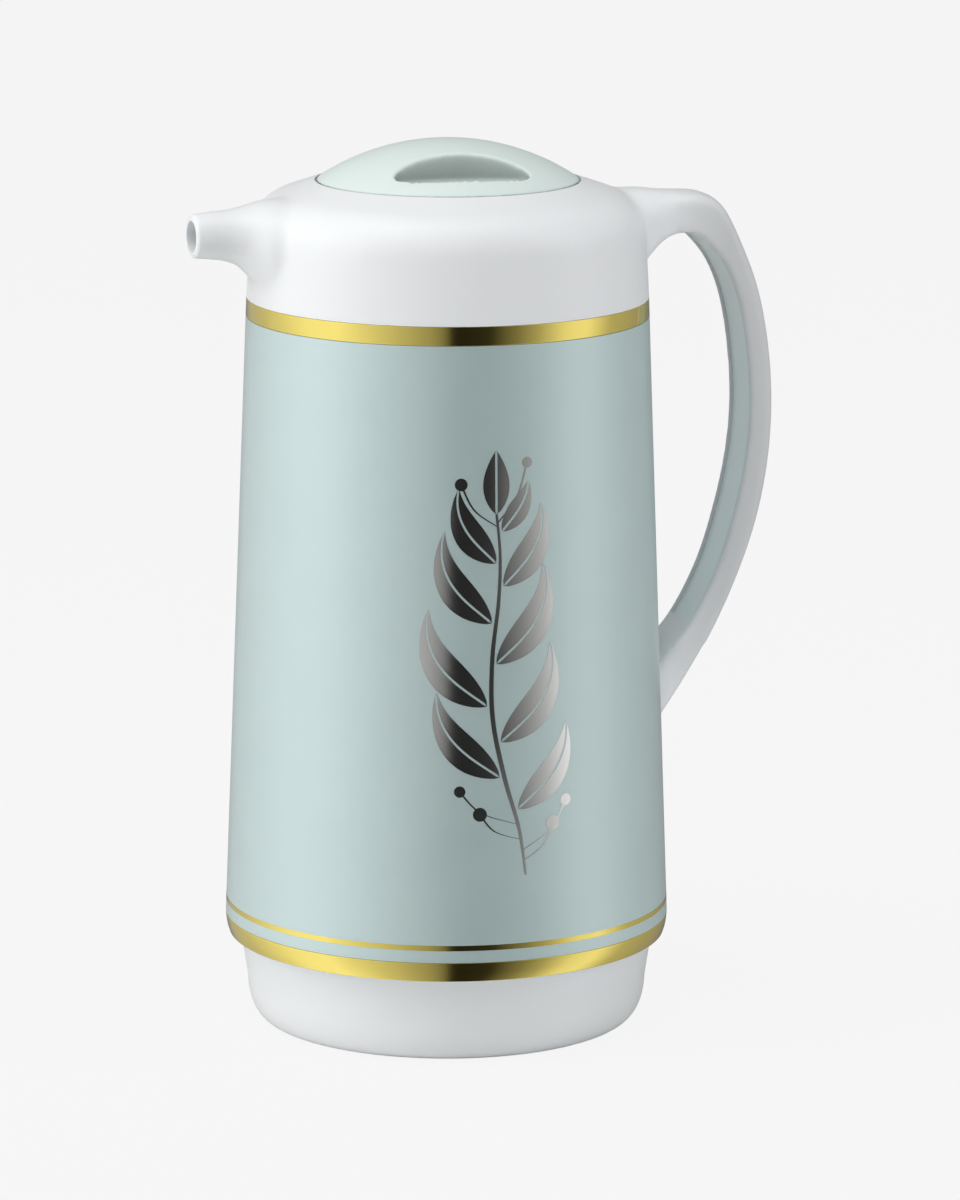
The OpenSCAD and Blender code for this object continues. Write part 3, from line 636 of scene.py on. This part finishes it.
def wrapOnCase(piece):
    # from the flat, sideways and up, onto the tapered case
    for vertex in piece.data.vertices:
        z = vertex.co.y / mm
        r = caseR(z) + sprig["proud"]
        a = math.radians(sprig["turn"]) + vertex.co.x / mm / r
        vertex.co = Vector((r * math.cos(a), r * math.sin(a), z)) * mm


def stemAt(t):
    path = blendKnots(sprig["stem"], 10)
    return path[min(int(t * (len(path) - 1)), len(path) - 1)]


def flatStrip(name, rows):
    # a strip of faces between two edges, given as rows of points across it
    across, along = len(rows[0]) - 1, len(rows) - 1
    deselectAll()
    bpy.ops.mesh.primitive_grid_add(x_subdivisions=across, y_subdivisions=along, size=2)
    piece = bpy.context.object
    for vertex in piece.data.vertices:
        i = round((vertex.co.x + 1) / 2 * across)
        j = round((vertex.co.y + 1) / 2 * along)
        vertex.co = Vector((*rows[j][i], 0)) * mm
    settle(piece, name)
    return piece


def halfLeaf(leaf, edge):
    at, side, length, width, angle, bend = leaf
    rootX, rootZ = stemAt(at)[:2]
    turn = math.radians(angle) * side
    steps, across = 28, 4
    rows = []
    for i in range(steps + 1):
        s = i / steps
        fullness = math.sin(math.pi * s ** 0.85) ** 0.85 * width / 2 if 0 < s < 1 else 0
        lean = turn - math.radians(bend) * side * 6 * (s - 0.4) * s
        cx = rootX + 1.8 * math.sin(turn) + length * s * math.sin(lean)
        cz = rootZ + length * s * math.cos(lean)
        near = min(sprig["gap"] / 2, fullness)
        row = []
        for j in range(across + 1):
            off = edge * (near + (fullness - near) * j / across)
            row.append((cx + off * math.cos(lean), cz - off * math.sin(lean)))
        rows.append(row if edge > 0 else row[::-1])
    return flatStrip("leafHalf", rows)


def makeSprig():
    parts = []
    path = blendKnots(sprig["stem"], 8)
    parts.append(flatStrip("stem", [[(x + w * (j / 2 - 0.5), z) for j in range(3)] for x, z, w in path]))
    for leaf in sprig["leaves"]:
        parts += [halfLeaf(leaf, 1), halfLeaf(leaf, -1)]
    for at, x, z, r in sprig["berries"]:
        rootX, rootZ = stemAt(at)[:2]
        bow = [(rootX, rootZ), ((rootX + x) / 2 + (x - rootX) * 0.15, (rootZ + z) / 2 - 1.2), (x, z)]
        parts.append(flatStrip("stalk", [[(px - 0.3, pz), (px + 0.3, pz)] for px, pz in blendKnots(bow, 6)]))
        deselectAll()
        bpy.ops.mesh.primitive_circle_add(vertices=32, radius=r * mm, fill_type="TRIFAN",
                                          location=(x * mm, z * mm, 0))
        berry = bpy.context.object
        settle(berry, "berry")
        parts.append(berry)
    piece = joinAll("silverSprig", parts)
    bpy.ops.object.mode_set(mode="EDIT")
    bpy.ops.mesh.select_all(action="SELECT")
    bpy.ops.mesh.dissolve_degenerate(threshold=0.01 * mm)
    bpy.ops.object.mode_set(mode="OBJECT")
    wrapOnCase(piece)
    applyModifier(piece, "SOLIDIFY", thickness=sprig["foil"] * mm, offset=1)
    smoothShade(piece, 40)
    dress(piece, materials["silverFoil"])
    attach(piece, "root")


makeSprig()
print("sprig done")


# pieces that keep their CAD mesh

nodeFinishes = {
    "handle_screws": "zincSteel", "handle_backing_plate": "zincSteel", "collar_screws": "zincSteel",
    "neck_collar": "innerMoulding", "base_retaining_ring": "innerMoulding", "stopper_core": "innerMoulding",
    "seal_retainer": "innerMoulding", "collar_seal": "blackRubber", "liner_cushion": "blackRubber",
    "stopper_o_ring": "blackRubber", "mouth_gasket": "silicone", "seat_seal": "silicone",
    "liner_outer_glass": "silveredGlass", "liner_inner_glass": "silveredGlass",
    "liner_spacers": "fibrePad", "stopper_insulation": "rigidFoam"}
for node, finish in nodeFinishes.items():
    dress(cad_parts[node], materials[finish])


# floor, lamps and camera

studio = {"floorSize": 12, "paper": 0.93, "matt": 0.85, "shadow": 0.045, "roomForLight": 0.38,
          # name, size, strength, distance, azimuth from the camera, height, colour; all aim at aimH
          "aimH": 0.13,
          "lamps": [("leftBox", (1.3, 1.7), 15, 1.7, -78, 0.8, (1, 0.99, 0.98)),
                    ("rightBox", (0.9, 1.5), 7.9, 1.9, 78, 0.9, (0.97, 0.98, 1)),
                    ("topBox", (1.4, 1.4), 16, 0.6, -30, 1.9, (1, 1, 1))],
          # what shiny surfaces mirror: direction in degrees from the camera's, and brightness
          "flats": [(-180, 0.20), (-168, 0.26), (-152, 0.50), (-130, 0.62), (-108, 0.86), (-88, 1.10),
                    (-65, 1.15), (-40, 0.76), (-8, 0.36), (-1, 0.22), (3, 0.012), (25, 0.03), (41, 0.22),
                    (54, 0.45), (70, 0.90), (86, 1.04), (106, 0.52), (150, 0.32), (168, 0.20), (180, 0.20)]}
view = {"place": (-621.9, -1738.1, 511.2), "azimuth": -20, "tilt": 11.681, "roll": 0.189, "lens": 185.06}


def makeFloor():
    # the camera sees pale paper with a soft shadow, and the object is lit as by a plain matt floor
    deselectAll()
    bpy.ops.mesh.primitive_plane_add(size=studio["floorSize"], location=(0, 0, -0.0002))
    floor = bpy.context.object
    floor.name = "paperFloor"
    material, nodes, links = newMaterial("paper")
    nodes.remove(nodes["Principled BSDF"])
    light = addNode(nodes, "ShaderNodeLightPath")
    matt = addNode(nodes, "ShaderNodeBsdfDiffuse", Color=(*[studio["matt"]] * 3, 1))
    glow = addNode(nodes, "ShaderNodeEmission", Color=(1, 1, 1, 1), Strength=studio["paper"])
    share = addNode(nodes, "ShaderNodeMath", operation="MULTIPLY")
    share.inputs[1].default_value = 1 - studio["shadow"]
    mix = addNode(nodes, "ShaderNodeMixShader")
    seen = seenRays(nodes, links, light)
    links.new(seen.outputs[0], share.inputs[0])
    links.new(share.outputs[0], mix.inputs[0])
    links.new(matt.outputs[0], mix.inputs[1])
    links.new(glow.outputs[0], mix.inputs[2])
    links.new(mix.outputs[0], nodes["Material Output"].inputs["Surface"])
    dress(floor, material)
    floor.visible_glossy = False


def seenRays(nodes, links, light):
    # 1 for camera, glossy and transmission rays
    first = addNode(nodes, "ShaderNodeMath", operation="MAXIMUM")
    second = addNode(nodes, "ShaderNodeMath", operation="MAXIMUM")
    links.new(light.outputs["Is Camera Ray"], first.inputs[0])
    links.new(light.outputs["Is Glossy Ray"], first.inputs[1])
    links.new(first.outputs[0], second.inputs[0])
    links.new(light.outputs["Is Transmission Ray"], second.inputs[1])
    return second


def makeWorld():
    # plain for light, paper for the camera, and flats round the object for mirror surfaces
    world = bpy.data.worlds.new("studioRoom")
    bpy.context.scene.world = world
    world.use_nodes = True
    nodes, links = world.node_tree.nodes, world.node_tree.links
    light = addNode(nodes, "ShaderNodeLightPath")
    place = addNode(nodes, "ShaderNodeTexCoord")
    turn = addNode(nodes, "ShaderNodeMapping")
    turn.inputs["Rotation"].default_value = (0, 0, math.radians(90 - view["azimuth"]))
    sweep = addNode(nodes, "ShaderNodeTexGradient", gradient_type="RADIAL")
    ramp = addNode(nodes, "ShaderNodeValToRGB")
    fillRamp(ramp, [(0.5 + a / 360, (v, v, v)) for a, v in studio["flats"]])
    room = nodes["Background"]
    room.inputs["Strength"].default_value = studio["roomForLight"]
    room.inputs["Color"].default_value = (1, 1, 1, 1)
    paper = addNode(nodes, "ShaderNodeBackground", Color=(1, 1, 1, 1), Strength=studio["paper"])
    flats = addNode(nodes, "ShaderNodeBackground", Strength=1)
    mixSeen = addNode(nodes, "ShaderNodeMixShader")
    mixGloss = addNode(nodes, "ShaderNodeMixShader")
    links.new(place.outputs["Generated"], turn.inputs["Vector"])
    links.new(turn.outputs["Vector"], sweep.inputs["Vector"])
    links.new(sweep.outputs["Fac"], ramp.inputs["Fac"])
    links.new(ramp.outputs["Color"], flats.inputs["Color"])
    links.new(seenRays(nodes, links, light).outputs[0], mixSeen.inputs[0])
    links.new(room.outputs[0], mixSeen.inputs[1])
    links.new(paper.outputs[0], mixSeen.inputs[2])
    links.new(light.outputs["Is Glossy Ray"], mixGloss.inputs[0])
    links.new(mixSeen.outputs[0], mixGloss.inputs[1])
    links.new(flats.outputs[0], mixGloss.inputs[2])
    links.new(mixGloss.outputs[0], nodes["World Output"].inputs["Surface"])


def aroundObject(distance, azimuth, height):
    a = math.radians(view["azimuth"] + azimuth)
    return Vector((math.sin(a) * distance, -math.cos(a) * distance, height))


def aimAt(thing, target):
    thing.rotation_euler = (target - thing.location).to_track_quat("-Z", "Y").to_euler()


def makeLamps():
    middle = Vector((0, 0, studio["aimH"]))
    for name, size, strength, distance, azimuth, height, colour in studio["lamps"]:
        deselectAll()
        bpy.ops.object.light_add(type="AREA", location=aroundObject(distance, azimuth, height))
        lamp = bpy.context.object
        lamp.name = name
        lamp.data.shape = "RECTANGLE"
        lamp.data.size, lamp.data.size_y = size
        lamp.data.energy = strength
        lamp.data.color = colour
        lamp.visible_camera = False
        lamp.visible_glossy = False
        aimAt(lamp, middle)


def makeCamera():
    deselectAll()
    bpy.ops.object.camera_add(location=[c * mm for c in view["place"]])
    camera = bpy.context.object
    camera.name = "mainCamera"
    turn = Matrix.Rotation(math.radians(view["azimuth"]), 3, "Z")
    tilt = Matrix.Rotation(math.radians(90 - view["tilt"]), 3, "X")
    roll = Matrix.Rotation(math.radians(view["roll"]), 3, "Z")
    camera.rotation_euler = (turn @ tilt @ roll).to_euler()
    camera.data.lens = view["lens"]
    camera.data.sensor_width = 36
    bpy.context.scene.camera = camera


makeFloor()
makeWorld()
makeLamps()
makeCamera()
bpy.context.scene.view_settings.view_transform = "Standard"
print("studio done")
